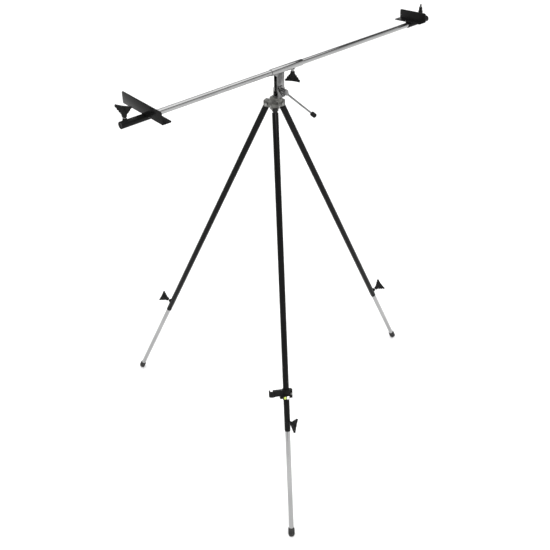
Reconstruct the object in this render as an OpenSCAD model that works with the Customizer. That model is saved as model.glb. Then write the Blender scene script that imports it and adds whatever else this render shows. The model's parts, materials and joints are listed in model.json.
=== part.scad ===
// Folding tripod stand with a tilting, sliding crossbar and two angle brackets.
// Millimetres, +Z up, floor at z = 0. The crossbar's near end is at the left, the front leg points to -Y.

/* [Stance] */
// Height of the crown's base above the floor
crown_height = 1205; // [1190:1:1220]
// Sideways lean of the crown, because the legs are drawn out unequally
crown_lean = 6.1; // [0:0.1:8]
// Angle between each leg and the crown's axis
splay = 25.2; // [20:0.1:28]

/* [Legs] */
// Outer diameter of the upper leg tubes
upper_d = 19; // [19:0.5:20]
// Length of the upper leg tubes
upper_len = 969; // [800:1:1000]
// Outer diameter of the lower leg tubes
lower_d = 16; // [16:0.5:16]
// Length of the lower leg tubes
lower_len = 850; // [700:1:880]
// Wall of every leg tube
tube_wall = 1; // [1:0.1:1]
// Diameter of the rubber feet
foot_d = 21; // [20:0.5:24]

/* [Head] */
// Sideways offset of the head on the crown plate
head_offset = 14; // [12:1:14]
// Height of the tilt bolt above the crown's base
tilt_height = 54; // [52:1:58]
// Height of the crossbar's axis above the crown's base
bar_height = 112; // [110:1:116]
// Direction of the crossbar, turned from +X towards +Y
bar_azimuth = 37.2; // [0:0.1:90]
// Length of the clamp lever's rod
lever_len = 104; // [80:1:110]

/* [Crossbar] */
// Outer diameter of the crossbar tube
bar_d = 16; // [16:0.5:16]
// Reach of the crossbar to the left of the head
bar_left = 524; // [480:1:560]
// Reach of the crossbar to the right of the head
bar_right = 638; // [600:1:680]
// Outer diameter of the sleeves that run on the crossbar
sleeve_d = 19.5; // [19:0.5:21]

/* [Brackets] */
// Distance of the left upright from the head
plate_left = 460; // [440:1:470]
// Distance of the right upright from the head
plate_right = 574; // [560:1:590]
// Length of the left angle plate
plate_left_len = 176; // [120:1:200]
// Length of the right angle plate
plate_right_len = 104; // [90:1:200]
// Height of the left upright flange
upright_left_h = 35; // [25:1:40]
// Height of the right upright flange
upright_right_h = 28; // [25:1:40]
// Width of the resting flanges
ledge_w = 30; // [20:1:34]
// Roll of the right bracket about the crossbar
right_roll = 5; // [0:1:20]

/* [Hidden] */
$fn = 48;
FRONT = 0;
RIGHT = 1;
LEFT = 2;
LEG_AZIMUTH = [0, 120, -120];
KNOB_TURN = [30, -5, 5];        // turn of each leg's wing screw from straight outward
WING_TURN = [74, 48, 102];        // turn of each leg's wings about their screw, 90 is along the leg
BAR_KNOB_TURN = 59;               // turn of the wings about their screw, from the bar's direction
BRACKET_KNOB_TURN = [-57, 38];
crown_xy = [69, 104];             // puts the origin under the middle of the whole stand

black = [0.06, 0.06, 0.065];
plastic = [0.08, 0.08, 0.085];
bright = [0.78, 0.79, 0.8];
dull = [0.55, 0.56, 0.53];
steel = [0.66, 0.67, 0.68];

gap = 0.3;                        // air between parts of different bodies
snug = 0.02;                      // air between parts fixed to each other
run = 0.06;                       // radial clearance of a running fit

// Crown
pivot_r = 22;
pivot_z = 9;
tongue_w = 13;
tongue_t = 10;
cheek_t = 2.8;
lug_reach = 31;
lug_bottom = 0;
lug_top = 19;
crown_top = 29;
hub_r = 14;
hub_bottom = -4;
plate_r = 16.5;
plate_t = 3;
plate_shift = head_offset / 2;   // the plate lies between the hub and the head
web_bottom = 10;
roof_t = 3;
seat_t = 8;
pan_seat_r = 8;
sink = 1;                         // how far joined shapes run into each other
pan_hole_z = crown_top - roof_t + 1;
pivot_bolt_r = 3;
lug_half = tongue_w / 2 + gap + cheek_t;

// Legs, measured from the pivot down the leg
fitting_len = 17;
plug_len = 32;
upper_r = upper_d / 2;
upper_bore = upper_r - tube_wall;
lower_r = lower_d / 2;
lower_bore = lower_r - tube_wall;
upper_end = fitting_len + upper_len;
COLLAR_LEN = [3, 7, 28];          // the left leg's collar stands furthest out of its tube
collar_plug = 9;
foot_r = foot_d / 2;
foot_cup = 18;
KNOB_UP = [28, 17, 17];           // wing screw above the upper tube's end
bush_len = 10;

// Screws and knobs
screw_r = 3;
boss_r = 6;
boss_h = 4.5;
knob_h = 31;
knob_gap = 4;                     // bare thread between a boss and its knob
close_gap = 1;                    // the same on the right bracket, whose screw is further in
knob_hub = 7;
knob_span = 44;
knob_t = 6;
stud_in_knob = 18;

// Head
head_half = 14;                   // half width of the clevises along the bar
ear_r = 13;
inner_t0 = 5;
inner_t1 = 8;
outer_t0 = inner_t1 + gap;
outer_t1 = outer_t0 + 3;
base_z = crown_top + plate_t + gap;
base_t = 3;
tilt_bolt_r = 4;
washer_t = 1.4;
boss_d = 16;
boss_len = 18;
boss_cap = 4;                     // closed end of the lever's boss
lever_y = outer_t1 + washer_t + gap + boss_len / 2;
lever_drop = 46.5;                  // fall of the lever below the bar's direction
lever_kick = 20;                  // lean of the lever away from the clevis
lever_tip_r = 6.8;
sleeve_left = 31;
sleeve_right = 87;
bar_screw_x = 52;

// Crossbar and brackets
bar_r = bar_d / 2;
sleeve_r = sleeve_d / 2;
bar_wall = 1.2;
bracket_sleeve_in = 28;           // sleeve end inside the upright
bracket_sleeve_out = 66;          // sleeve end outside the upright
BRACKET_SCREW_IN = [15, 30];      // wing screw from the sleeve's outer end
flat_z = sleeve_r - 0.5;
plate_thick = 2.5;
rivet_r = 2;
rivet_head_r = 3.6;
rivet_head_t = 1.6;
rivet_tip_z = bar_r + 0.3;
RIVET_X = [9, 21];                // from the upright

// Clip on the front leg
clip_up = 106;                    // below the clip, above the upper tube's end
clip_turn = 12;
clip_h = 28;
clip_ring = 3.5;
arm_h = 19;                       // the arm and jaw hang level with the clip's top
arm_w = 12;
block_reach = 20;                 // full-height block at the root of the arm
clip_slit = 2;
ear_x = upper_r + 5;
ear_reach = 9;
ear_w = 14;
clip_screw_r = 2;
jaw_x = 45;                       // from the leg's axis to the jaw's centre
jaw_r = 6.5;
jaw_mouth = 9;
level_x = -4.5;
level_z = 6.5;
level_w = 20;
level_h = 12;
level_t = 7;
level_y = upper_r + clip_ring + 0.5;
vial_x = -9;
vial_r = 4.4;
vial_t = 3.4;

// ---- Frames ----

// The crown's own frame, leaning as the stand does
module stand_frame() {
    translate([crown_xy[0], crown_xy[1], crown_height]) rotate([0, crown_lean, 0]) children();
}

// A leg's frame: pivot at the origin, leg down -Z, outward side -Y
module leg_frame(k) {
    stand_frame() rotate([0, 0, LEG_AZIMUTH[k]]) translate([0, -pivot_r, pivot_z])
        rotate([-splay, 0, 0]) children();
}

// The head's frame: on the pan axis, X along the crossbar
module head_frame() {
    stand_frame() translate([head_offset, 0, 0]) rotate([0, 0, bar_azimuth]) children();
}

// The crossbar's frame: X along the bar's axis, rolled with a bracket
module bar_frame(roll = 0) {
    head_frame() translate([0, 0, bar_height]) rotate([-roll, 0, 0]) children();
}

// Distance from the pivot down to the centre of a foot's round end, which rests on the floor
function leg_side(k) = sin(LEG_AZIMUTH[k]);
function pivot_world_z(k) = crown_height + pivot_z * cos(crown_lean)
    - pivot_r * leg_side(k) * sin(crown_lean);
function leg_fall(k) = cos(splay) * cos(crown_lean) + sin(splay) * leg_side(k) * sin(crown_lean);
function foot_at(k) = (pivot_world_z(k) - foot_r) / leg_fall(k);

// ---- Shared shapes ----

module tube(r, bore, len) {
    difference() {
        cylinder(r = r, h = len);
        translate([0, 0, -1]) cylinder(r = bore, h = len + 2);
    }
}

// A cylinder along Y, centred on the origin
module cross_pin(r, len) {
    rotate([90, 0, 0]) cylinder(r = r, h = len, center = true);
}

// Right half of a wing knob's outline: hub, two steps, then the wing's tip
WING_SIDE = [
    [0, 8], [8.5, 8], [8.5, 12], [12.5, 12], [12.5, 17.5], [17, 17.5], [17, 23], [22, 25],
    [22, 31], [11, 29.5], [0, 29]
];

module wing_half() {
    rotate([90, 0, 0]) linear_extrude(height = knob_t, center = true)
        polygon([for (p = WING_SIDE) [p[0] * knob_span / 44, p[1] * knob_h / 31]]);
}

// Wing knob: screw axis along +Z, underside at z = 0, wings along X
module wing_knob() {
    color(plastic) difference() {
        union() {
            cylinder(r1 = knob_hub - 1, r2 = knob_hub, h = 6);
            translate([0, 0, 6]) cylinder(r = knob_hub, h = 10);
            translate([0, 0, 16]) cylinder(r1 = knob_hub, r2 = knob_hub - 2, h = 9);
            wing_half();
            mirror([1, 0, 0]) wing_half();
        }
        translate([0, 0, -1]) cylinder(r = screw_r + snug, h = stud_in_knob + 1.5);
    }
}

// Stud of a wing screw, from its tip to inside the knob. The knob's underside is at z = 0.
module wing_stud(reach) {
    color(steel) translate([0, 0, -reach]) cylinder(r = screw_r, h = reach + stud_in_knob);
}

// Moves a wing screw to its place on a sleeve or tube, pointing along +Z
module on_boss(face_r, bare = knob_gap) {
    translate([0, 0, face_r + boss_h + bare]) children();
}

function stud_reach(face_r, inner_r, bare = knob_gap) = face_r + boss_h + bare - inner_r - gap;

// ---- Crown and head ----

module lug() {
    difference() {
        translate([-lug_half, -lug_reach, lug_bottom])
            cube([2 * lug_half, lug_reach, lug_top - lug_bottom]);
        translate([-tongue_w / 2 - gap, -lug_reach + cheek_t, lug_bottom - 1])
            cube([tongue_w + 2 * gap, lug_reach, lug_top - roof_t - lug_bottom + 1]);
        translate([-tongue_w / 2 - gap, -lug_reach - 1, lug_bottom - 1])
            cube([tongue_w + 2 * gap, cheek_t + 2, web_bottom - lug_bottom + 1]);
        translate([0, -pivot_r, pivot_z]) rotate([0, 90, 0])
            cylinder(r = pivot_bolt_r + snug, h = 3 * lug_half, center = true);
    }
}

module crown() {
    color(dull) stand_frame() difference() {
        union() {
            for (a = LEG_AZIMUTH) rotate([0, 0, a]) lug();
            translate([0, 0, hub_bottom]) cylinder(r = hub_r, h = crown_top + sink - hub_bottom);
            translate([head_offset, 0, crown_top - seat_t])
                cylinder(r = pan_seat_r, h = seat_t + sink);
            translate([plate_shift, 0, crown_top - sink]) cylinder(r = plate_r, h = plate_t + sink);
        }
        translate([head_offset, 0, pan_hole_z]) cylinder(r = tilt_bolt_r + snug, h = crown_top);
    }
}

module leg_pivot_bolts() {
    color(steel) for (k = [0:2]) stand_frame() rotate([0, 0, LEG_AZIMUTH[k]])
        translate([0, -pivot_r, pivot_z]) rotate([0, 90, 0]) {
            cylinder(r = pivot_bolt_r, h = 2 * lug_half + 9, center = true);
            for (s = [-1, 1]) translate([0, 0, s * (lug_half + snug + 2)])
                cylinder(r = 5.6, h = 4, center = true, $fn = 6);
        }
}

module clevis_ears(t0, t1, bottom, pin_r) {
    for (s = [-1, 1]) translate([0, s * (t0 + t1) / 2, 0]) difference() {
        union() {
            translate([-ear_r, -(t1 - t0) / 2, bottom]) cube([2 * ear_r, t1 - t0, tilt_height - bottom]);
            translate([0, 0, tilt_height]) cross_pin(ear_r, t1 - t0);
        }
        translate([0, 0, tilt_height]) cross_pin(pin_r, t1);
    }
}

module lower_clevis() {
    color(bright) head_frame() difference() {
        union() {
            clevis_ears(outer_t0, outer_t1, base_z, tilt_bolt_r + snug);
            translate([-head_half, -outer_t1, base_z]) cube([2 * head_half, 2 * outer_t1, base_t]);
        }
        cylinder(r = tilt_bolt_r + run, h = tilt_height - ear_r);
    }
}

module pan_bolt() {
    color(steel) head_frame() {
        translate([0, 0, pan_hole_z + snug])
            cylinder(r = tilt_bolt_r, h = base_z + base_t + 1 - pan_hole_z - snug);
        translate([0, 0, base_z + base_t + gap]) cylinder(r = 6.5, h = 2.6, $fn = 6);
    }
}

module upper_bracket() {
    color(bright) head_frame() difference() {
        union() {
            for (s = [-1, 1]) translate([0, s * (inner_t0 + inner_t1) / 2, 0]) {
                translate([-ear_r, -(inner_t1 - inner_t0) / 2, tilt_height])
                    cube([2 * ear_r, inner_t1 - inner_t0, bar_height - 12 - tilt_height]);
                translate([0, 0, tilt_height]) cross_pin(ear_r, inner_t1 - inner_t0);
            }
            translate([-ear_r, -inner_t1, bar_height - 15]) cube([2 * ear_r, 2 * inner_t1, 9]);
        }
        translate([0, 0, tilt_height]) cross_pin(tilt_bolt_r + run, 3 * inner_t1);
        translate([0, 0, bar_height]) rotate([0, 90, 0])
            cylinder(r = sleeve_r + snug, h = 3 * ear_r, center = true);
    }
}

module tilt_bolt() {
    near = lever_y + boss_len / 2 - boss_cap - 0.5;
    far = outer_t1 + washer_t + 1;
    color(steel) head_frame() translate([0, 0, tilt_height]) {
        translate([0, (far - near) / 2, 0]) cross_pin(tilt_bolt_r, far + near);
        translate([0, outer_t1 + washer_t + 2.5, 0]) rotate([90, 0, 0])
            cylinder(r = 7, h = 4.6, center = true, $fn = 6);
    }
}

module tilt_washers() {
    color(steel) head_frame() translate([0, 0, tilt_height]) for (s = [-1, 1])
        translate([0, s * (outer_t1 + snug + washer_t / 2), 0]) difference() {
            cross_pin(7.4, washer_t - 2 * snug);
            cross_pin(tilt_bolt_r + snug, 2 * washer_t);
        }
}

// The lever's frame: boss centre on the tilt bolt, rod along +X
module lever_frame() {
    head_frame() translate([0, -lever_y, tilt_height])
        rotate([0, lever_drop, 0]) rotate([0, 0, -lever_kick]) children();
}

module lever_boss() {
    color(bright) head_frame() translate([0, -lever_y, tilt_height])
        difference() {
            union() {
                cross_pin(boss_d / 2, boss_len);
                rotate([0, lever_drop, 0]) rotate([0, 90, -lever_kick])
                    cylinder(r = 5.5, h = 13);
            }
            translate([0, boss_cap, 0]) cross_pin(tilt_bolt_r + run, boss_len);
            rotate([0, lever_drop, 0]) rotate([0, 90, -lever_kick]) translate([0, 0, 7])
                cylinder(r = 3.5 + snug, h = 20);
        }
}

module lever_rod() {
    color(bright) lever_frame() rotate([0, 90, 0]) {
        translate([0, 0, 7.1]) cylinder(r = 3.5, h = 10);
        translate([0, 0, 17.1]) cylinder(r1 = 3.5, r2 = 2.6, h = lever_len - 10);
    }
}

module lever_tip() {
    color(plastic) lever_frame() rotate([0, 90, 0]) translate([0, 0, lever_len + 7.15 + snug])
        union() {
            cylinder(r1 = 5, r2 = lever_tip_r, h = 5);
            translate([0, 0, 5]) cylinder(r = lever_tip_r, h = 10);
            translate([0, 0, 15]) cylinder(r1 = lever_tip_r, r2 = 5, h = 3);
        }
}

// ---- Crossbar ----

// A sleeve along X with a screw boss on its +Z side, from x = a to x = b
module screw_sleeve(a, b, screw_x, flat_a = 0, flat_b = 0) {
    difference() {
        union() {
            translate([a, 0, 0]) rotate([0, 90, 0]) cylinder(r = sleeve_r, h = b - a);
            translate([screw_x, 0, bar_r + 1]) cylinder(r = boss_r, h = sleeve_r + boss_h - bar_r - 1);
        }
        translate([a - 1, 0, 0]) rotate([0, 90, 0]) cylinder(r = bar_r + run, h = b - a + 2);
        translate([screw_x, 0, 0]) cylinder(r = screw_r + run, h = sleeve_r + boss_h + 1);
        if (flat_b > flat_a)
            translate([flat_a, -sleeve_r, flat_z - snug]) cube([flat_b - flat_a, 2 * sleeve_r, 5]);
    }
}

module bar_sleeve() {
    color(bright) bar_frame(180) screw_sleeve(-sleeve_left, sleeve_right, bar_screw_x);
}

module bar_wing() {
    bar_frame(180) translate([bar_screw_x, 0, 0]) on_boss(sleeve_r)
        rotate([0, 0, BAR_KNOB_TURN]) children();
}

module bar_knob() { bar_wing() wing_knob(); }

module bar_screw() { bar_wing() wing_stud(stud_reach(sleeve_r, bar_r)); }

module crossbar() {
    color(bright) bar_frame() translate([-bar_left, 0, 0]) rotate([0, 90, 0])
        tube(bar_r, bar_r - bar_wall, bar_left + bar_right);
}

module bar_end_plugs() {
    color(plastic) bar_frame() {
        for (e = [[-bar_left - 1, 1], [bar_right + 1, -1]]) translate([e[0], 0, 0])
            rotate([0, 90 * e[1], 0]) {
                cylinder(r = bar_r - 0.4, h = 1 - snug);
                cylinder(r = bar_r - bar_wall - snug, h = 12);
            }
    }
}

// ---- Brackets: side -1 is the left one, side +1 the right one ----

function plate_x(side) = side < 0 ? -plate_left : plate_right;
function plate_len(side) = side < 0 ? plate_left_len : plate_right_len;
function plate_h(side) = side < 0 ? upright_left_h : upright_right_h;
function roll(side) = side < 0 ? 0 : right_roll;
function screw_in(side) = BRACKET_SCREW_IN[side < 0 ? 0 : 1];
function screw_at(side) = plate_x(side) + side * (bracket_sleeve_out - screw_in(side));
function bare_thread(side) = side < 0 ? knob_gap : close_gap;

module bracket_sleeve(side) {
    inner = plate_x(side) - side * bracket_sleeve_in;
    outer = plate_x(side) + side * bracket_sleeve_out;
    lip = plate_x(side) + side * 1;
    color(black) bar_frame(roll(side)) difference() {
        screw_sleeve(min(inner, outer), max(inner, outer), screw_at(side),
            min(inner - side, lip), max(inner - side, lip));
        for (x = RIVET_X) translate([plate_x(side) - side * x, 0, bar_r / 2])
            cylinder(r = rivet_r + snug, h = bar_r);
    }
}

module angle_plate(side) {
    color(black) bar_frame(roll(side)) translate([plate_x(side), 0, flat_z]) difference() {
        union() {
            translate([side < 0 ? 0 : -plate_thick, -plate_len(side) / 2, 0])
                cube([plate_thick, plate_len(side), plate_h(side)]);
            translate([side < 0 ? 0 : -ledge_w, -plate_len(side) / 2, 0])
                cube([ledge_w, plate_len(side), plate_thick]);
        }
        for (x = RIVET_X) translate([-side * x, 0, 0]) {
            translate([0, 0, -1]) cylinder(r = rivet_r + snug, h = plate_thick);
            translate([0, 0, plate_thick - rivet_head_t - snug])
                cylinder(r1 = rivet_r + snug, r2 = rivet_head_r + snug, h = rivet_head_t);
            translate([0, 0, plate_thick - 2 * snug]) cylinder(r = rivet_head_r + snug, h = 1);
        }
    }
}

module plate_rivets(side) {
    head_z = flat_z + plate_thick - rivet_head_t;
    color(black) bar_frame(roll(side)) for (x = RIVET_X) translate([plate_x(side) - side * x, 0, 0]) {
        translate([0, 0, rivet_tip_z]) cylinder(r = rivet_r, h = head_z - rivet_tip_z + 0.1);
        translate([0, 0, head_z]) cylinder(r1 = rivet_r, r2 = rivet_head_r, h = rivet_head_t - snug);
    }
}

module bracket_wing(side) {
    bar_frame(roll(side)) translate([screw_at(side), 0, 0]) on_boss(sleeve_r, bare_thread(side))
        rotate([0, 0, BRACKET_KNOB_TURN[side < 0 ? 0 : 1]]) children();
}

module bracket_knob(side) { bracket_wing(side) wing_knob(); }

module bracket_screw(side) {
    bracket_wing(side) wing_stud(stud_reach(sleeve_r, bar_r, bare_thread(side)));
}

// ---- Legs ----

module leg_fitting(k) {
    color(plastic) leg_frame(k) difference() {
        union() {
            translate([-tongue_w / 2, -tongue_t / 2, -fitting_len])
                cube([tongue_w, tongue_t, fitting_len]);
            rotate([0, 90, 0]) cylinder(r = tongue_t / 2, h = tongue_w, center = true);
            translate([0, 0, -fitting_len + snug]) cylinder(r = upper_r, h = 2);
            translate([0, 0, -fitting_len - plug_len]) cylinder(r = upper_bore - snug, h = plug_len + 1);
        }
        rotate([0, 90, 0]) cylinder(r = pivot_bolt_r + run, h = 2 * tongue_w, center = true);
    }
}

// Turns a leg's wing screw to face outward, along +Z
module leg_wing(k) {
    leg_frame(k) translate([0, 0, KNOB_UP[k] - upper_end]) rotate([0, 0, KNOB_TURN[k]])
        rotate([90, 0, 0]) on_boss(upper_r) rotate([0, 0, WING_TURN[k]]) children();
}

module upper_tube(k) {
    color(black) leg_frame(k) difference() {
        union() {
            translate([0, 0, -upper_end]) cylinder(r = upper_r, h = upper_len);
            translate([0, 0, KNOB_UP[k] - upper_end]) rotate([90, 0, KNOB_TURN[k]])
                cylinder(r = boss_r, h = upper_r + boss_h);
        }
        translate([0, 0, -upper_end - 1]) cylinder(r = upper_bore, h = upper_len + 2);
        translate([0, 0, KNOB_UP[k] - upper_end]) rotate([90, 0, KNOB_TURN[k]])
            cylinder(r = screw_r + run, h = upper_r + boss_h + 1);
    }
}

module lock_collar(k) {
    len = COLLAR_LEN[k];
    color(plastic) leg_frame(k) translate([0, 0, -upper_end]) difference() {
        union() {
            translate([0, 0, -len]) cylinder(r = upper_r - 0.6, h = len - snug);
            translate([0, 0, -1]) cylinder(r = upper_bore - snug, h = collar_plug + 1);
        }
        translate([0, 0, -len - 1]) cylinder(r = lower_r + run, h = len + collar_plug + 2);
    }
}

module lower_tube(k) {
    color(bright) leg_frame(k) translate([0, 0, 8 - foot_at(k)]) tube(lower_r, lower_bore, lower_len);
}

module glide_bush(k) {
    color(dull) leg_frame(k) translate([0, 0, 8 - foot_at(k) + lower_len + snug]) {
        cylinder(r = upper_bore - run, h = bush_len);
        translate([0, 0, -14]) cylinder(r = lower_bore - snug, h = 15);
    }
}

module foot(k) {
    color(plastic) leg_frame(k) translate([0, 0, -foot_at(k)]) difference() {
        union() {
            sphere(r = foot_r);
            cylinder(r = foot_r, h = foot_cup - 4);
            translate([0, 0, foot_cup - 4]) cylinder(r1 = foot_r, r2 = foot_r - 1, h = 6);
        }
        translate([0, 0, 8 - snug]) cylinder(r = lower_r + snug, h = foot_cup);
    }
}

module leg_knob(k) { leg_wing(k) wing_knob(); }

module leg_screw(k) { leg_wing(k) wing_stud(stud_reach(upper_r, lower_r)); }

// ---- Clip on the front leg ----

module clip_frame() {
    leg_frame(FRONT) translate([0, 0, clip_up - upper_end]) rotate([0, 0, clip_turn]) children();
}

// The jaw is open at the back, away from the level
module leg_clip() {
    color(plastic) clip_frame() difference() {
        union() {
            cylinder(r = upper_r + clip_ring, h = clip_h);
            translate([-jaw_x, 0, clip_h - arm_h]) cylinder(r = jaw_r + clip_ring, h = arm_h);
            translate([-jaw_x, -arm_w / 2, clip_h - arm_h]) cube([jaw_x, arm_w, arm_h]);
            translate([-block_reach, -arm_w / 2, 0]) cube([block_reach, arm_w, clip_h]);
            translate([upper_r, -ear_w / 2, 0]) cube([ear_reach, ear_w, clip_h]);
            translate([level_x - level_w / 2, -level_y, level_z - level_h / 2])
                cube([level_w, level_y, level_h]);
        }
        translate([0, 0, -1]) cylinder(r = upper_r + snug, h = clip_h + 2);
        translate([upper_r - 2, -clip_slit / 2, -1]) cube([ear_reach + 4, clip_slit, clip_h + 2]);
        translate([-jaw_x, 0, -1]) cylinder(r = jaw_r, h = clip_h + 2);
        translate([-jaw_x - jaw_mouth / 2, 0, -1]) cube([jaw_mouth, 2 * jaw_r, clip_h + 2]);
        translate([ear_x, 0, clip_h / 2]) cross_pin(clip_screw_r + snug, 2 * ear_w);
    }
}

module clip_screw() {
    color(steel) clip_frame() translate([ear_x, 0, clip_h / 2]) {
        cross_pin(clip_screw_r, ear_w + 3);
        for (s = [-1, 1]) translate([0, s * (ear_w / 2 + 1.5 + snug), 0]) cross_pin(3.4, 3);
    }
}

module level_holder() {
    color(plastic) clip_frame() difference() {
        translate([level_x, -level_y - level_t / 2 - snug, level_z])
            cube([level_w, level_t, level_h], center = true);
        translate([vial_x, -level_y, level_z]) rotate([90, 0, 0])
            cylinder(r = vial_r + snug, h = 2 * level_t);
    }
}

module level_vial() {
    color([0.62, 0.78, 0.25]) clip_frame()
        translate([vial_x, -level_y - level_t / 2 - 2 * snug, level_z]) rotate([90, 0, 0])
            cylinder(r = vial_r, h = vial_t);
}

crown();
leg_pivot_bolts();
leg_fitting(FRONT);  // leg_fitting_front
leg_fitting(RIGHT);  // leg_fitting_right
leg_fitting(LEFT);  // leg_fitting_left
upper_tube(FRONT);  // upper_tube_front
upper_tube(RIGHT);  // upper_tube_right
upper_tube(LEFT);  // upper_tube_left
lock_collar(FRONT);  // lock_collar_front
lock_collar(RIGHT);  // lock_collar_right
lock_collar(LEFT);  // lock_collar_left
lower_tube(FRONT);  // lower_tube_front
lower_tube(RIGHT);  // lower_tube_right
lower_tube(LEFT);  // lower_tube_left
glide_bush(FRONT);  // glide_bush_front
glide_bush(RIGHT);  // glide_bush_right
glide_bush(LEFT);  // glide_bush_left
foot(FRONT);  // foot_front
foot(RIGHT);  // foot_right
foot(LEFT);  // foot_left
leg_knob(FRONT);  // leg_knob_front
leg_knob(RIGHT);  // leg_knob_right
leg_knob(LEFT);  // leg_knob_left
leg_screw(FRONT);  // leg_screw_front
leg_screw(RIGHT);  // leg_screw_right
leg_screw(LEFT);  // leg_screw_left
leg_clip();
clip_screw();
level_holder();
level_vial();
lower_clevis();
pan_bolt();
upper_bracket();
tilt_bolt();
tilt_washers();
lever_boss();
lever_rod();
lever_tip();
bar_sleeve();
bar_knob();
bar_screw();
crossbar();
bar_end_plugs();
bracket_sleeve(-1);  // bracket_sleeve_left
bracket_sleeve(1);  // bracket_sleeve_right
angle_plate(-1);  // angle_plate_left
angle_plate(1);  // angle_plate_right
plate_rivets(-1);  // plate_rivets_left
plate_rivets(1);  // plate_rivets_right
bracket_knob(-1);  // bracket_knob_left
bracket_knob(1);  // bracket_knob_right
bracket_screw(-1);  // bracket_screw_left
bracket_screw(1);  // bracket_screw_right
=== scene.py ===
"""Looks of a folding tripod stand with a tilting crossbar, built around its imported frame.

Shapes are drawn in millimetres in the frame of the part they stand for, which comes from the
record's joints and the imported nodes, and are placed in metres.
"""

import json
import math

import bmesh
import bpy
from mathutils import Matrix, Vector


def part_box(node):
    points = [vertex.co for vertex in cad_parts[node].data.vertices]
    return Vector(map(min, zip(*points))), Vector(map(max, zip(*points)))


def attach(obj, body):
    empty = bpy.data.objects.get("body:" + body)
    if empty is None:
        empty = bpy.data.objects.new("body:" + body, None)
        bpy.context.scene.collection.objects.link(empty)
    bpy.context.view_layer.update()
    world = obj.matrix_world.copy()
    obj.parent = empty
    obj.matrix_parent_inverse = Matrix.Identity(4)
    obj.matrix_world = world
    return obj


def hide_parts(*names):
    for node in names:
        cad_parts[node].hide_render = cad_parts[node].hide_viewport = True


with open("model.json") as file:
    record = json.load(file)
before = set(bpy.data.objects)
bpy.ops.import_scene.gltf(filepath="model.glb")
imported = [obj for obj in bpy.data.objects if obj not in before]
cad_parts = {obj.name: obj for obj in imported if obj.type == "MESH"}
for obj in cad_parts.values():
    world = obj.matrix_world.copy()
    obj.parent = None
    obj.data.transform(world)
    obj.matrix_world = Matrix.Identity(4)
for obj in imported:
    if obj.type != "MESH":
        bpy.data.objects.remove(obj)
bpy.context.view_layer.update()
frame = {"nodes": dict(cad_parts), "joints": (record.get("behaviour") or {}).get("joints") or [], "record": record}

MM = 0.001
SHARP = math.radians(35)  # edges that fold more than this stay sharp, or are rounded
JOINTS = {j["name"]: j for j in frame["joints"]}
SLOT = {s["node"]: s["material_slot"] for s in frame["record"]["subparts"]}
LEGS = ("front", "right", "left")
SIDES = ("left", "right")
BODY = {node: body for body, nodes in frame["record"]["behaviour"]["bodies"].items() for node in nodes}


def add_object(name, data):
    """A new object in the scene."""
    obj = bpy.data.objects.new(name, data)
    bpy.context.scene.collection.objects.link(obj)
    return obj


def closed_mesh(name, bm):
    """A mesh with its faces turned outward. The bmesh is freed."""
    bmesh.ops.recalc_face_normals(bm, faces=bm.faces)
    mesh = bpy.data.meshes.new(name)
    bm.to_mesh(mesh)
    bm.free()
    return mesh


def set_stops(ramp, stops):
    """Gives a colour ramp its stops, each a place and a colour."""
    elements = ramp.color_ramp.elements
    while len(elements) < len(stops):
        elements.new(0.5)
    for element, (at, colour) in zip(elements, stops):
        element.position = at
        element.color = (*colour, 1)


# ---- Places ----


def place(origin, x, z):
    """A frame at origin with the given X and Z directions."""
    x, z = Vector(x).normalized(), Vector(z).normalized()
    m = Matrix((x, z.cross(x), z)).transposed().to_4x4()
    m.translation = Vector(origin)
    return m


def joint_axis(name):
    return Vector(JOINTS[name]["axis"])


def joint_at(name):
    return Vector(JOINTS[name]["pos_m"])


def node_middle(node):
    lo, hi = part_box(node)
    return (lo + hi) / 2


def leg_place(k):
    """Pivot at the origin, leg down -Z, outward side -Y."""
    return place(joint_at(f"leg_fold_{k}"), joint_axis(f"leg_fold_{k}"), -joint_axis(f"leg_slide_{k}"))


def bracket_place(side):
    """Middle of the crossbar at the origin, X along the bar, Z out along the bracket's upright."""
    return place(node_middle("crossbar"), joint_axis("bar_slide"), joint_axis(f"bracket_lock_{side}"))


CROWN = place(joint_at("head_pan"), Vector((0, -1, 0)).cross(joint_axis("head_pan")), joint_axis("head_pan"))
HEAD = place(joint_at("head_tilt"), joint_axis("bar_slide"), joint_axis("head_pan"))
BAR = place(node_middle("crossbar"), joint_axis("bar_slide"), joint_axis("head_pan"))


def local_points(node, at):
    """A node's vertices in a frame, in millimetres."""
    back = at.inverted()
    return [(back @ v.co) / MM for v in frame["nodes"][node].data.vertices]


def span(node, at):
    """Lowest and highest corner of a node in a frame, in millimetres."""
    points = local_points(node, at)
    return (
        Vector(min(p[i] for p in points) for i in range(3)),
        Vector(max(p[i] for p in points) for i in range(3)),
    )


def knob_place(node, joint):
    """Underside of a wing knob at the origin, screw axis along Z, wings along X."""
    axis, foot = joint_axis(joint), joint_at(joint)
    points = [v.co - foot for v in frame["nodes"][node].data.vertices]
    low = min(p.dot(axis) for p in points)
    flat = [p - axis * p.dot(axis) for p in points]
    reach = max(p.length for p in flat)
    tips = [p for p in flat if p.length > reach - 0.1 * MM]
    side = sum((p for p in tips if p.dot(tips[0]) > 0), Vector())
    return place(foot + axis * low, side, axis)


# ---- Shapes ----


def eased(points, ease=0.5, closed=True, steps=3):
    """An outline with each corner turned into a short curve."""
    out = []
    count = len(points)
    for i, corner in enumerate(points):
        if not closed and i in (0, count - 1):
            out.append(tuple(corner))
            continue
        corner = Vector(corner)
        ends = []
        for other in (points[i - 1], points[(i + 1) % count]):
            side = Vector(other) - corner
            ends.append(corner + side.normalized() * min(ease, side.length * 0.45))
        for s in range(steps + 1):
            u = s / steps
            out.append(tuple(ends[0] * (1 - u) ** 2 + corner * (2 * u * (1 - u)) + ends[1] * u**2))
    return out


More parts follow.
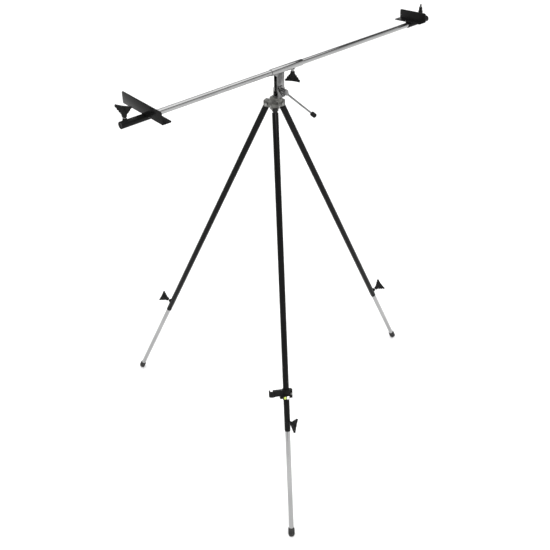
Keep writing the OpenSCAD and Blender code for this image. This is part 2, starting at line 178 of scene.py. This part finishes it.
def lathe(bm, profile, at=None, closed=False, steps=48, wave=None):
    """Turns a profile of (radius, height) about Z. wave(radius, height, turn) may change the radius."""
    at = at or Matrix()
    rings = []
    for r, z in profile:
        if r < 1e-6:
            rings.append([bm.verts.new(at @ Vector((0, 0, z)))])
            continue
        ring = []
        for i in range(steps):
            turn = i / steps
            w = wave(r, z, turn) if wave else r
            ring.append(
                bm.verts.new(at @ Vector((w * math.cos(math.tau * turn), w * math.sin(math.tau * turn), z)))
            )
        rings.append(ring)
    for a, b in zip(rings, rings[1:] + (rings[:1] if closed else [])):
        for i in range(steps):
            j = (i + 1) % steps
            corners = [a[i % len(a)], a[j % len(a)], b[j % len(b)], b[i % len(b)]]
            unique = list(dict.fromkeys(corners))
            if len(unique) > 2:
                bm.faces.new(unique)


def tube(bm, r, bore, low, high, ease=0.4, at=None, steps=64):
    """A tube along Z with rounded lips."""
    lathe(bm, eased([(r, low), (r, high), (bore, high), (bore, low)], ease), at, closed=True, steps=steps)


def prism(bm, outline, thickness, at=None, bevel=0.5, segments=2):
    """An outline in X and Z, with thickness along Y and rounded edges."""
    at = at or Matrix()
    front = [bm.verts.new(at @ Vector((x, -thickness / 2, z))) for x, z in outline]
    back = [bm.verts.new(at @ Vector((x, thickness / 2, z))) for x, z in outline]
    caps = [bm.faces.new(front), bm.faces.new(list(reversed(back)))]
    count = len(outline)
    for i in range(count):
        j = (i + 1) % count
        bm.faces.new([front[j], front[i], back[i], back[j]])
    if bevel:
        rims = {e for cap in caps for e in cap.edges}
        bmesh.ops.bevel(bm, geom=list(rims), offset=bevel, segments=segments, affect="EDGES", profile=0.5)


def boss(bm, r, low, high, at=None):
    """A round boss along Z that flares a little where it joins what it stands on."""
    lathe(
        bm,
        [(0, low), (r + 1.2, low), (r + 0.5, low + 0.7), (r + 0.1, low + 1.6)]
        + eased([(r, low + 2.2), (r, high), (0, high)], 0.6, closed=False)[1:],
        at,
        steps=40,
    )


def merged(parts):
    """One closed bmesh from several overlapping ones."""
    made = [add_object(f"part_{i}", closed_mesh(f"part_{i}", bm)) for i, bm in enumerate(parts)]
    for other in made[1:]:
        join = made[0].modifiers.new("join", "BOOLEAN")
        join.operation = "UNION"
        join.solver = "EXACT"
        join.use_self = True
        join.object = other
    bpy.context.view_layer.update()
    result = bpy.data.meshes.new_from_object(made[0].evaluated_get(bpy.context.evaluated_depsgraph_get()))
    out = bmesh.new()
    out.from_mesh(result)
    for obj in made:
        mesh = obj.data
        bpy.data.objects.remove(obj)
        bpy.data.meshes.remove(mesh)
    bpy.data.meshes.remove(result)
    return out


def piece(name, bm, at, node, finish=None):
    """Makes a shape the piece that stands for a node, on the node's body and in its finish."""
    mesh = closed_mesh(name, bm)
    mesh.transform(Matrix.Scale(MM, 4))
    mesh.materials.append(finish or FINISH[SLOT[node]])
    mesh.polygons.foreach_set("use_smooth", [True] * len(mesh.polygons))
    mesh.set_sharp_from_angle(angle=SHARP)
    obj = add_object(name, mesh)
    obj.matrix_world = at
    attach(obj, BODY[node])
    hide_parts(node)
    return obj


def softened(name, node, at, bevel=0.4, segments=2):
    """A piece with the node's own shape and rounded edges."""
    bm = bmesh.new()
    bm.from_mesh(frame["nodes"][node].data)
    bmesh.ops.transform(bm, matrix=Matrix.Scale(1 / MM, 4) @ at.inverted(), verts=bm.verts)
    bmesh.ops.remove_doubles(bm, verts=bm.verts, dist=1e-3)
    bmesh.ops.dissolve_limit(bm, angle_limit=math.radians(1), verts=bm.verts, edges=bm.edges)
    sharp = [e for e in bm.edges if e.is_manifold and e.calc_face_angle(0) > SHARP]
    bmesh.ops.bevel(
        bm, geom=sharp, offset=bevel, segments=segments, affect="EDGES", profile=0.5, clamp_overlap=True
    )
    return piece(name, bm, at, node)


# ---- Finishes ----


class Nodes:
    """Short calls for a material's node tree."""

    def __init__(self, name):
        self.material = bpy.data.materials.new(name)
        self.material.use_nodes = True
        self.tree = self.material.node_tree
        self.shader = self.tree.nodes["Principled BSDF"]
        self.coords = self.tree.nodes.new("ShaderNodeTexCoord").outputs["Object"]

    def link(self, a, b):
        self.tree.links.new(a, b)

    def set(self, **values):
        for socket, value in values.items():
            self.shader.inputs[socket.replace("_", " ")].default_value = value

    def noise(self, scale, detail=3.0, stretch=(1, 1, 1), rough=0.5):
        mapping = self.tree.nodes.new("ShaderNodeMapping")
        mapping.inputs["Scale"].default_value = stretch
        self.link(self.coords, mapping.inputs["Vector"])
        n = self.tree.nodes.new("ShaderNodeTexNoise")
        n.inputs["Scale"].default_value = scale
        n.inputs["Detail"].default_value = detail
        n.inputs["Roughness"].default_value = rough
        self.link(mapping.outputs["Vector"], n.inputs["Vector"])
        return n.outputs["Fac"]

    def ramp(self, fac, stops):
        r = self.tree.nodes.new("ShaderNodeValToRGB")
        set_stops(r, stops)
        self.link(fac, r.inputs["Fac"])
        return r.outputs["Color"]

    def range(self, fac, low, high, start=0.3, end=0.7):
        m = self.tree.nodes.new("ShaderNodeMapRange")
        for socket, value in zip(("From Min", "From Max", "To Min", "To Max"), (start, end, low, high)):
            m.inputs[socket].default_value = value
        self.link(fac, m.inputs["Value"])
        return m.outputs["Result"]

    def mix(self, fac, a, b):
        m = self.tree.nodes.new("ShaderNodeMix")
        m.data_type = "RGBA"
        self.link(fac, m.inputs["Factor"])
        self.link(a, m.inputs["A"])
        self.link(b, m.inputs["B"])
        return m.outputs["Result"]

    def bump(self, height, distance, strength=0.5):
        b = self.tree.nodes.new("ShaderNodeBump")
        b.inputs["Distance"].default_value = distance
        b.inputs["Strength"].default_value = strength
        self.link(height, b.inputs["Height"])
        self.link(b.outputs["Normal"], self.shader.inputs["Normal"])

    def colour(self, output):
        self.link(output, self.shader.inputs["Base Color"])

    def roughness(self, output):
        self.link(output, self.shader.inputs["Roughness"])


def grey(value, tint=(1, 1, 1)):
    return tuple(value * t for t in tint)


def chrome(name, value=0.36, low=0.04, high=0.12, worn=0.85, patch=22):
    """Bright plating with faint drawn lines along the tube and dull smears."""
    n = Nodes(name)
    n.set(Metallic=1.0)
    smear = n.noise(patch, 4, (1, 1, 0.35))
    n.colour(n.ramp(smear, [(0.35, grey(value * worn)), (0.65, grey(value))]))
    n.roughness(n.range(smear, low, high))
    n.bump(n.noise(900, 2, (1, 1, 0.02)), 0.00002, 0.25)
    return n.material


def anodised(name):
    """Satin black with fine drawn lines along the tube and a few lighter rubs."""
    n = Nodes(name)
    n.set(Specular_IOR_Level=0.08)
    lines = n.noise(700, 2, (1, 1, 0.01))
    rub = n.noise(35, 5, (1, 1, 0.2), 0.65)
    n.colour(n.ramp(rub, [(0.35, grey(0.004)), (0.68, grey(0.006)), (0.8, grey(0.014))]))
    n.roughness(n.range(lines, 0.15, 0.23))
    n.bump(lines, 0.00003, 0.3)
    return n.material


def paint(name):
    """Semi-gloss black paint with a slight orange peel and worn specks."""
    n = Nodes(name)
    n.set(Specular_IOR_Level=0.08)
    specks = n.noise(420, 6, rough=0.75)
    n.colour(n.ramp(specks, [(0.0, grey(0.004)), (0.66, grey(0.006)), (0.76, grey(0.025))]))
    n.roughness(n.range(n.noise(60, 4), 0.14, 0.24))
    n.bump(n.noise(650, 2), 0.00004, 0.35)
    return n.material


def moulded(name, value=0.005, low=0.38, high=0.55, grain=1400, tint=(1, 1, 1)):
    """Moulded plastic with a fine even texture and handling marks."""
    n = Nodes(name)
    n.set(Specular_IOR_Level=0.1)
    handling = n.noise(90, 5, rough=0.6)
    n.colour(n.ramp(handling, [(0.3, grey(value, tint)), (0.75, grey(value * 1.5, tint))]))
    n.roughness(n.range(handling, low, high))
    n.bump(n.noise(grain, 3), 0.00006, 0.35)
    return n.material


def casting(name):
    """Dull grey die casting with a sandy skin and darker stains in patches."""
    n = Nodes(name)
    n.set(Metallic=0.75)
    stain = n.noise(60, 5, rough=0.6)
    warm = (1, 1, 0.93)
    n.colour(n.ramp(stain, [(0.3, grey(0.07, warm)), (0.5, grey(0.12, warm)), (0.72, grey(0.2, warm))]))
    n.roughness(n.range(stain, 0.55, 0.38))
    n.bump(n.noise(900, 4, rough=0.7), 0.0001, 0.5)
    return n.material


def plated(name):
    """Zinc or nickel plating, brushed by tools, with dull spots."""
    n = Nodes(name)
    n.set(Metallic=1.0)
    dull = n.noise(180, 5, rough=0.65)
    n.colour(n.ramp(dull, [(0.3, (0.16, 0.16, 0.155)), (0.7, (0.3, 0.3, 0.29))]))
    n.roughness(n.range(dull, 0.38, 0.2))
    n.bump(n.noise(1500, 2, (1, 0.1, 1)), 0.00003, 0.3)
    return n.material


def rubber(name):
    """Black rubber, greyed by dust on a coarse moulded skin."""
    n = Nodes(name)
    n.set(Specular_IOR_Level=0.3)
    dust = n.noise(140, 6, rough=0.7)
    n.colour(n.ramp(dust, [(0.4, grey(0.016)), (0.8, grey(0.05, (1, 0.97, 0.92)))]))
    n.roughness(n.range(dust, 0.6, 0.85))
    n.bump(n.noise(1100, 4), 0.0001, 0.5)
    return n.material


def liquid(name):
    """Yellow-green vial, glossy, slightly uneven in depth."""
    n = Nodes(name)
    n.set(Coat_Weight=0.8, Coat_Roughness=0.03, Specular_IOR_Level=0.6)
    depth = n.noise(260, 2)
    n.colour(n.ramp(depth, [(0.3, (0.36, 0.46, 0.05)), (0.7, (0.52, 0.62, 0.1))]))
    n.roughness(n.range(depth, 0.08, 0.16))
    return n.material


FINISH = {
    "crown_metal": casting("crown_casting"),
    "black_anodised": anodised("black_anodised"),
    "black_paint": paint("black_paint"),
    "black_plastic": moulded("black_plastic"),
    "chrome_tube": chrome("chrome_tube"),
    "head_plate": chrome("head_plate", 0.25, 0.1, 0.3, 0.35, 70),
    "steel_hardware": plated("steel_hardware"),
    "grey_plastic": moulded("grey_plastic", 0.32, 0.45, 0.6),
    "rubber": rubber("rubber"),
    "vial_green": liquid("vial_green"),
}
# Painted highlight: white finish for the plate beside the vial that stands for a highlight
PAINTED_HIGHLIGHT_WHITE = moulded("painted_highlight_plate_white", 0.72, 0.4, 0.5, 700)


# ---- Wing screws ----

KNOB_WING = [(8.5, 8), (8.5, 12), (12.5, 12), (12.5, 17.5), (17, 17.5), (17, 23), (22, 25), (22, 31), (11, 29.5)]
KNOB_TOP = 29
WING_T = 5.2
RIB = [(-4.6, 9), (4.6, 9), (4.6, 27.4), (-4.6, 27.4)]
RIB_T = 9.4
KNOB_EDGE = 0.35
HUB_PROFILE = [
    (3.05, 0), (6.1, 0), (6.4, 1.2), (7, 6), (7, 15.5), (5.6, 17), (5.6, 22), (5, 25), (3.6, 26.3), (0, 26.8)
]
SCREW_R = 3
PITCH = 1.25
THREAD_DEPTH = 0.42


def knob_mesh():
    """Hub and two stepped wings, moulded in one."""
    wings = bmesh.new()
    outline = KNOB_WING + [(0, KNOB_TOP)] + [(-x, z) for x, z in reversed(KNOB_WING)]
    prism(wings, eased(outline, 0.9, steps=2), WING_T, bevel=KNOB_EDGE)
    hub = bmesh.new()
    lathe(hub, [(0, 0)] + eased(HUB_PROFILE, 0.5, closed=False), steps=40)
    ribs = bmesh.new()
    prism(ribs, eased(RIB, 1), RIB_T, bevel=KNOB_EDGE)
    return merged([wings, hub, ribs])


def thread_wave(r, z, turn):
    """Radius of a screw thread at a height and a turn."""
    phase = (z / PITCH - turn) % 1
    return r - THREAD_DEPTH * abs(2 * phase - 1)


def screw_mesh(low, high):
    """Threaded stud from low to high along Z."""
    bm = bmesh.new()
    count = int((high - low) / (PITCH / 5))
    heights = [low + 0.6 + (high - low - 1.2) * i / count for i in range(count + 1)]
    tip_r = SCREW_R - 0.9
    profile = [(0, low), (tip_r, low)] + [(SCREW_R, z) for z in heights] + [(tip_r, high), (0, high)]
    lathe(bm, profile, steps=24, wave=lambda r, z, turn: thread_wave(r, z, turn) if r == SCREW_R else r)
    return bm


def wing_screw(prefix, knob, screw, joint):
    """Knob and stud of one wing screw."""
    at = knob_place(knob, joint)
    piece(f"{prefix}_knob", knob_mesh(), at, knob)
    lo, hi = span(screw, at)
    piece(f"{prefix}_stud", screw_mesh(lo.z, hi.z), at, screw)
    return at


# ---- Legs ----

BOSS_R = 6
BOSS_FOOT_LEG = 8.6  # distance of a boss's foot from its tube's axis, just inside the skin
BOSS_FOOT_SLEEVE = 9
KNOB_GAP = 4
BORE_GAP = 0.06
LEG_WALL = 1
BAR_WALL = 1.2


def upper_leg(k):
    """Black tube with the boss of its wing screw."""
    at = leg_place(k)
    node = f"upper_tube_{k}"
    lo, hi = span(node, at)
    r = min(hi.x, -lo.x)
    main = bmesh.new()
    tube(main, r, r - LEG_WALL, lo.z, hi.z)
    screw = at.inverted() @ knob_place(f"leg_knob_{k}", f"leg_lock_{k}")
    screw.translation /= MM
    stand = bmesh.new()
    boss(stand, BOSS_R, BOSS_FOOT_LEG - screw.translation.xy.length, -KNOB_GAP, screw)
    piece(f"upper_leg_{k}", merged([main, stand]), at, node)


def lower_leg(k):
    """Bright tube with its rubber foot."""
    at = leg_place(k)
    lo, hi = span(f"lower_tube_{k}", at)
    bm = bmesh.new()
    tube(bm, hi.x, hi.x - LEG_WALL, lo.z, hi.z, 0.3)
    piece(f"lower_leg_{k}", bm, at, f"lower_tube_{k}")
    foot(k, at, hi.x)


def foot(k, at, tube_r):
    """Round-ended rubber foot with three grips and a thin lip."""
    node = f"foot_{k}"
    lo, hi = span(node, at)
    r = hi.x
    middle = lo.z + r
    dome = [(r * math.sin(a), middle - r * math.cos(a)) for a in (math.pi / 2 * i / 10 for i in range(11))]
    sides = []
    for i in range(3):
        z = middle + 2 + i * 4
        sides += [(r, z), (r - 0.9, z + 0.5), (r - 0.9, z + 1.5), (r, z + 2)]
    cup_r, cup_floor = tube_r + 0.02, middle + 7.9
    top = [(r, hi.z - 5.6), (r - 0.8, hi.z - 0.6), (r - 1.3, hi.z), (cup_r, hi.z)]
    inside = [(cup_r, cup_floor), (0, cup_floor)]
    bm = bmesh.new()
    lathe(bm, dome + sides + top + inside, steps=48)
    piece(f"foot_pad_{k}", bm, at, node)


def collar(k):
    """Black guide collar with a rounded rim, and fine grooves where it is long enough."""
    at = leg_place(k)
    node = f"lock_collar_{k}"
    lo, hi = span(node, at)
    tube_end = span(f"upper_tube_{k}", at)[0].z
    r = min(-lo.x, hi.x)
    plug_r = r - 0.42
    bore = span(f"lower_tube_{k}", at)[1].x + BORE_GAP
    grooves = []
    for z in (lo.z + 3, lo.z + 22):
        if z + 2 < tube_end:
            grooves += [(r, z), (r - 0.45, z + 0.4), (r - 0.45, z + 1), (r, z + 1.4)]
    outside = [(bore, lo.z), (r - 0.5, lo.z), (r, lo.z + 0.6)] + grooves + [(r, tube_end - 0.1)]
    inside = [(plug_r, tube_end), (plug_r, hi.z), (bore, hi.z)]
    bm = bmesh.new()
    lathe(bm, outside + inside, closed=True)
    piece(f"guide_collar_{k}", bm, at, node)


for leg in LEGS:
    softened(f"leg_top_{leg}", f"leg_fitting_{leg}", leg_place(leg), 0.5)
    upper_leg(leg)
    collar(leg)
    lower_leg(leg)
    wing_screw(f"leg_{leg}", f"leg_knob_{leg}", f"leg_screw_{leg}", f"leg_lock_{leg}")
    bush = frame["nodes"][f"glide_bush_{leg}"]
    bush.data.materials.clear()
    bush.data.materials.append(FINISH["grey_plastic"])


# ---- Crown and head ----

softened("crown_casting", "crown", CROWN, 0.8, 3)
softened("leg_pivots", "leg_pivot_bolts", CROWN, 0.35)
softened("swivel_bolt", "pan_bolt", CROWN, 0.35)
softened("lower_fork", "lower_clevis", HEAD, 0.35)
softened("upper_fork", "upper_bracket", HEAD, 0.35)
softened("tilt_pin", "tilt_bolt", HEAD, 0.35)
softened("tilt_rings", "tilt_washers", HEAD, 0.25)
softened("lever_hub", "lever_boss", HEAD, 0.6)


def lever_place():
    """Lever hub's middle at the origin, rod along Z."""
    rod, tip = node_middle("lever_rod"), node_middle("lever_tip")
    along = (tip - rod).normalized()
    return place(rod, along.cross(joint_axis("lever_turn").cross(along)), along)


def lever():
    """Tapered rod and its black tip."""
    at = lever_place()
    lo, hi = span("lever_rod", at)
    thick, thin, neck = hi.x, 2.6, lo.z + 10
    rod = bmesh.new()
    outline = [(0, lo.z), (thick, lo.z), (thick, neck), (thin, hi.z), (0, hi.z)]
    lathe(rod, eased(outline, 0.8, closed=False), steps=32)
    piece("lever_bar", rod, at, "lever_rod")
    lo, hi = span("lever_tip", at)
    r = hi.x
    tip = bmesh.new()
    outline = [(0, lo.z), (r - 1.4, lo.z), (r, lo.z + 3), (r, hi.z - 3.4), (r - 1.3, hi.z - 0.6), (0, hi.z)]
    lathe(tip, eased(outline, 1.3, closed=False), steps=40)
    piece("lever_grip", tip, at, "lever_tip")


lever()


# ---- Crossbar ----


def along_bar(at):
    """The same frame turned so that Z runs along the bar."""
    return at @ Matrix.Rotation(math.pi / 2, 4, "Y")


def crossbar():
    """Bright tube with a plug in each end."""
    at = along_bar(BAR)
    lo, hi = span("crossbar", at)
    bm = bmesh.new()
    tube(bm, hi.x, hi.x - BAR_WALL, lo.z, hi.z, 0.3)
    piece("cross_tube", bm, at, "crossbar")
    lo, hi = span("bar_end_plugs", at)
    plugs = bmesh.new()
    for end, inward in ((lo.z, 1), (hi.z, -1)):
        r, plug_r = hi.x, hi.x - 0.85
        profile = [(0, 0.5), (4.5, 0.4), (5.2, 0), (r - 0.4, 0), (r, 0.4), (r, 0.98)]
        profile += [(plug_r, 0.98), (plug_r, 12), (0, 13)]
        lathe(plugs, [(r, end + inward * z) for r, z in profile])
    piece("end_caps", plugs, at, "bar_end_plugs")


def sleeve(name, node, knob_at, at):
    """Sleeve on the crossbar with a boss for its wing screw, rounded at both ends."""
    lo, hi = span(node, at)
    r = min(-lo.y, hi.y)
    bore = span("crossbar", at)[1].y + BORE_GAP
    main = bmesh.new()
    tube(main, r, bore, lo.x, hi.x, 0.6, Matrix.Rotation(math.pi / 2, 4, "Y"))
    screw = at.inverted() @ knob_at
    screw.translation /= MM
    stand = bmesh.new()
    boss(stand, BOSS_R, BOSS_FOOT_SLEEVE - abs(screw.translation.z), span(node, knob_at)[1].z, screw)
    piece(name, merged([main, stand]), at, node)


crossbar()
bar_wing = wing_screw("bar", "bar_knob", "bar_screw", "bar_lock")
sleeve("head_sleeve", "bar_sleeve", bar_wing, BAR)


# ---- Brackets ----

PLATE_T = 2.5
BEND = 3.0
CORNER = 5
RIVET_R = 1.9


def angle_plate(side, at):
    """Folded plate: a ledge and an upright, with a rounded bend and corners."""
    node = f"angle_plate_{side}"
    lo, hi = span(node, at)
    out, tip = (lo.x, hi.x) if side == "left" else (hi.x, lo.x)
    inward = 1 if tip > out else -1
    t = PLATE_T * inward
    bend = [
        (out + inward * BEND * (1 - math.sin(a)), lo.z + BEND * (1 - math.cos(a)))
        for a in (math.pi / 2 * i / 6 for i in range(7))
    ]
    inner = BEND - PLATE_T
    fold = [
        (out + t + inward * inner * (1 - math.cos(a)), lo.z + PLATE_T + inner * (1 - math.sin(a)))
        for a in (math.pi / 2 * i / 3 for i in range(4))
    ]
    outline = bend + [(out, hi.z), (out + t, hi.z)] + fold + [(tip, lo.z + PLATE_T), (tip, lo.z)]
    bm = bmesh.new()
    prism(bm, outline, hi.y - lo.y, Matrix.Translation((0, (hi.y + lo.y) / 2, 0)), bevel=0)
    ends = []
    for e in bm.edges:
        a, b = (v.co for v in e.verts)
        at_end = min(abs(a.y - lo.y), abs(a.y - hi.y)) < 0.01 and abs(a.y - b.y) < 0.01
        at_top = a.z > hi.z - 0.01 and b.z > hi.z - 0.01
        at_tip = abs(a.x - tip) < 0.01 and abs(b.x - tip) < 0.01
        if at_end and (at_top or at_tip):
            ends.append(e)
    bmesh.ops.bevel(bm, geom=ends, offset=CORNER, segments=5, affect="EDGES", profile=0.5)
    sharp = [e for e in bm.edges if e.is_manifold and e.calc_face_angle(0) > math.radians(50)]
    bmesh.ops.bevel(bm, geom=sharp, offset=0.3, segments=2, affect="EDGES", profile=0.5)
    piece(f"angle_bracket_{side}", bm, at, node)


def rivets(side, at):
    """Flush rivets that hold the plate to its sleeve."""
    node = f"plate_rivets_{side}"
    points = local_points(node, at)
    top = max(p.z for p in points)
    low = min(p.z for p in points)
    middle = sum(p.x for p in points) / len(points)
    bm = bmesh.new()
    for half in (-1, 1):
        xs = [p.x for p in points if (p.x - middle) * half > 0]
        x = (min(xs) + max(xs)) / 2
        r = (max(xs) - min(xs)) / 2
        shank = [(0, low), (RIVET_R, low), (RIVET_R, top - 1.2)]
        head = [(r - 0.1, top - 0.1), (r - 0.5, top + 0.12), (0, top + 0.3)]
        lathe(bm, shank + head, Matrix.Translation((x, 0, 0)), steps=32)
    piece(f"rivet_heads_{side}", bm, at, node)


for side in SIDES:
    bracket = bracket_place(side)
    knob_at = wing_screw(
        f"bracket_{side}", f"bracket_knob_{side}", f"bracket_screw_{side}", f"bracket_lock_{side}"
    )
    sleeve(f"slide_sleeve_{side}", f"bracket_sleeve_{side}", knob_at, bracket)
    angle_plate(side, bracket)
    rivets(side, bracket)


# ---- Clip and level on the front leg ----

CLIP_TURN = math.radians(12)
CLIP = leg_place("front") @ Matrix.Rotation(CLIP_TURN, 4, "Z")
# Rim and thickness of the white plate painted in as a highlight beside the vial
HIGHLIGHT_PLATE_RIM = 1.2
HIGHLIGHT_PLATE_T = 0.8

softened("leg_clip_body", "leg_clip", CLIP, 0.6, 3)
softened("clip_bolt", "clip_screw", CLIP, 0.4)
softened("level_case", "level_holder", CLIP, 0.5)


def vial():
    """Domed round vial with a bubble ring."""
    lo, hi = span("level_vial", CLIP)
    r = (hi.x - lo.x) / 2
    middle = Matrix.Translation(((lo.x + hi.x) / 2, lo.y, (lo.z + hi.z) / 2))
    depth = hi.y - lo.y
    bubble = [(0, 0.9), (1.2, 0.86), (1.35, 0.55), (1.6, 0.8)]
    dome = [(r - 1, 0.55), (r - 0.3, 0.25), (r, -0.3), (r, -depth), (0, -depth)]
    bm = bmesh.new()
    lathe(bm, bubble + dome, middle @ Matrix.Rotation(math.pi / 2, 4, "X"), steps=40)
    piece("level_glass", bm, CLIP, "level_vial")


def painted_highlight_plate():
    """Painted highlight: a thin white plate set in the level's case beside the vial, standing for a highlight
    there.
    """
    lo, hi = span("level_holder", CLIP)
    left, right = span("level_vial", CLIP)[1].x + HIGHLIGHT_PLATE_RIM, hi.x - HIGHLIGHT_PLATE_RIM
    low, high = lo.z + HIGHLIGHT_PLATE_RIM, hi.z - HIGHLIGHT_PLATE_RIM
    bm = bmesh.new()
    outline = [(left, low), (right, low), (right, high), (left, high)]
    prism(bm, eased(outline, 0.8), HIGHLIGHT_PLATE_T, Matrix.Translation((0, lo.y, 0)), bevel=0.2)
    piece("level_painted_highlight", bm, CLIP, "level_holder", finish=PAINTED_HIGHLIGHT_WHITE)


vial()
# Painted highlight: white plate beside the vial
painted_highlight_plate()


# ---- Floor, light and camera ----


FLOOR_HALF = 40
KEY_AT = (1.0, -2.6, 3.4)
KEY_TARGET = (0, 0, 0.7)
KEY_SIDE = 0.4
KEY_POWER = 60
CEILING_ANGLE = math.radians(100)
CEILING_STRENGTH = 2.6
SKY = [(0.0, 1.0), (0.34, 0.95), (0.46, 0.2), (0.58, 0.08), (0.72, 0.5), (1.0, 0.7)]  # height, brightness


def floor():
    """Pale floor, wide enough to reach the horizon."""
    mesh = bpy.data.meshes.new("floor")
    bm = bmesh.new()
    bmesh.ops.create_grid(bm, x_segments=1, y_segments=1, size=FLOOR_HALF)
    bm.to_mesh(mesh)
    bm.free()
    n = Nodes("pale_floor")
    n.set(Specular_IOR_Level=0.2)
    cloud = n.noise(3, 3)
    n.colour(n.ramp(cloud, [(0.3, grey(0.88)), (0.7, grey(0.91))]))
    n.roughness(n.range(cloud, 0.6, 0.7))
    mesh.materials.append(n.material)
    obj = add_object("floor", mesh)


def key():
    """Square lamp in front of the stand, high on the right."""
    light = bpy.data.lights.new("key", "AREA")
    light.shape = "RECTANGLE"
    light.size, light.size_y = KEY_SIDE, KEY_SIDE
    light.energy = KEY_POWER
    obj = add_object("key", light)
    obj.location = KEY_AT
    obj.rotation_mode = "QUATERNION"
    obj.rotation_quaternion = (Vector(KEY_TARGET) - Vector(KEY_AT)).to_track_quat("-Z", "Y")


def ceiling():
    """Even light from a wide patch of sky above, which leaves hardly any shadow."""
    light = bpy.data.lights.new("ceiling", "SUN")
    light.angle = CEILING_ANGLE
    light.energy = CEILING_STRENGTH
    add_object("ceiling", light).location = (0, 0, 4)


def sky():
    """White all round the horizon and above, with a dark band between that bright metal can mirror."""
    world = bpy.data.worlds.new("studio")
    bpy.context.scene.world = world
    world.use_nodes = True
    tree = world.node_tree
    coords = tree.nodes.new("ShaderNodeTexCoord")
    parts = tree.nodes.new("ShaderNodeSeparateXYZ")
    ramp = tree.nodes.new("ShaderNodeValToRGB")
    tree.links.new(coords.outputs["Generated"], parts.inputs["Vector"])
    tree.links.new(parts.outputs["Z"], ramp.inputs["Fac"])
    set_stops(ramp, [(at, grey(value)) for at, value in SKY])
    background = tree.nodes["Background"]
    background.inputs["Strength"].default_value = 1.0
    tree.links.new(ramp.outputs["Color"], background.inputs["Color"])


CAMERA_AT = (0.0283, -2.0445, 2.1956)
CAMERA_AZIMUTH = math.radians(-0.75)
CAMERA_ELEVATION = math.radians(36.56)
CAMERA_ROLL = math.radians(-8.28)
CAMERA_LENS = 52.12


def camera():
    """Camera in front of the stand, looking down on it."""
    data = bpy.data.cameras.new("camera")
    data.lens = CAMERA_LENS
    data.sensor_width = 36
    obj = add_object("camera", data)
    level = math.cos(CAMERA_ELEVATION)
    forward = Vector(
        (math.sin(CAMERA_AZIMUTH) * level, math.cos(CAMERA_AZIMUTH) * level, -math.sin(CAMERA_ELEVATION))
    )
    turn = forward.to_track_quat("-Z", "Y").to_matrix().to_4x4() @ Matrix.Rotation(CAMERA_ROLL, 4, "Z")
    turn.translation = CAMERA_AT
    obj.matrix_world = turn
    bpy.context.scene.camera = obj


floor()
sky()
key()
ceiling()
camera()
bpy.context.scene.view_settings.view_transform = "Standard"
